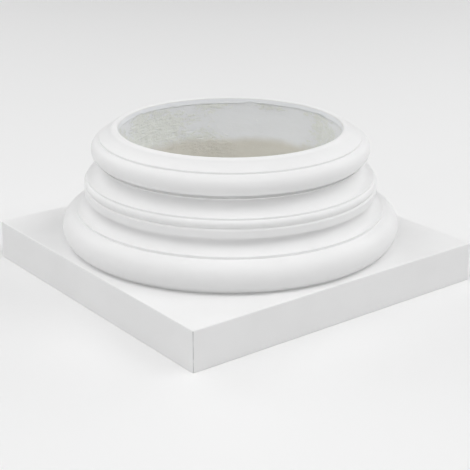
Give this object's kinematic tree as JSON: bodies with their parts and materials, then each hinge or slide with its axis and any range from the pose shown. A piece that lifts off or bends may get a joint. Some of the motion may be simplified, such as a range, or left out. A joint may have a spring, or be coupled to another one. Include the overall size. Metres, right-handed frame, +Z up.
{
  "type": "column base",
  "caption": "White moulded column base: a low square plinth under a stack of round rolls and hollows, with a straight round opening for a column shaft.",
  "frame": {"origin": "middle of the plinth's underside, on the axis of the round opening", "axes": "+Z up along the opening's axis, X and Y along the sides of the square plinth"},
  "size_m": [0.4, 0.4, 0.1779],
  "materials": {
    "primed_casting": "smooth satin white primer, raw unpainted cream foam inside the opening"
  },
  "bodies": {
    "root": {"column_base": "primed_casting"}
  },
  "joints": []
}
